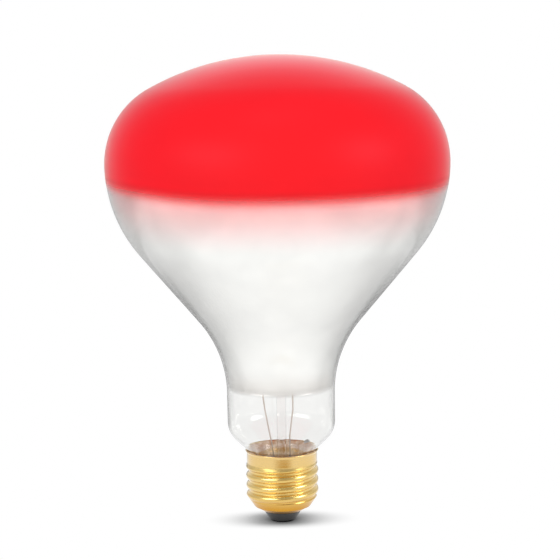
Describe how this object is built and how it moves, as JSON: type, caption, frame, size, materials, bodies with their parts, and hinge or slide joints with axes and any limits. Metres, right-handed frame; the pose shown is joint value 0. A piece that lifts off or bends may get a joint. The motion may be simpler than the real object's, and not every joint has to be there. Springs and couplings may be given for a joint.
{
  "type": "infrared heat lamp bulb",
  "caption": "Reflector heat lamp with a red domed crown, a mirrored bowl, a clear neck that shows the stem and wires, and a threaded brass screw cap.",
  "frame": {"origin": "lowest point of the centre contact's solder, on the lamp's axis", "axes": "+Z along the axis from the cap to the crown; X from the left lead wire to the right one; -Y is the front"},
  "size_m": [0.1252, 0.1252, 0.1723],
  "materials": {
    "bulb_glass": "clear blown glass",
    "red_lacquer": "translucent red coat, satin gloss",
    "mirror_film": "vapour-deposited aluminium, bright satin",
    "tungsten": "dark drawn tungsten",
    "support_wire": "drawn molybdenum wire",
    "stem_glass": "clear pressed glass",
    "nickel_wire": "drawn nickel-plated wire",
    "copper_wire": "drawn copper-clad wire",
    "cap_brass": "rolled bright brass",
    "cap_cement": "baked brown cement",
    "contact_brass": "pressed brass, slightly dull",
    "solder": "frozen tin solder",
    "black_glass": "moulded black glass"
  },
  "bodies": {
    "root": {"glass_bulb": "bulb_glass", "red_lacquer": "red_lacquer", "mirror_film": "mirror_film", "filament": "tungsten", "support_wire_1": "support_wire", "support_wire_2": "support_wire", "support_wire_3": "support_wire", "support_wire_4": "support_wire", "arbor_rod": "stem_glass", "lead_wire_right": "nickel_wire", "lead_wire_left": "nickel_wire", "seal_wire_right": "copper_wire", "seal_wire_left": "copper_wire", "shell_lead": "copper_wire", "contact_lead": "copper_wire", "stem_flare": "stem_glass", "exhaust_tube": "stem_glass", "cap_shell": "cap_brass", "cap_cement": "cap_cement", "contact_solder": "solder", "centre_contact": "contact_brass", "cap_insulator": "black_glass", "rim_solder": "solder"}
  },
  "joints": []
}
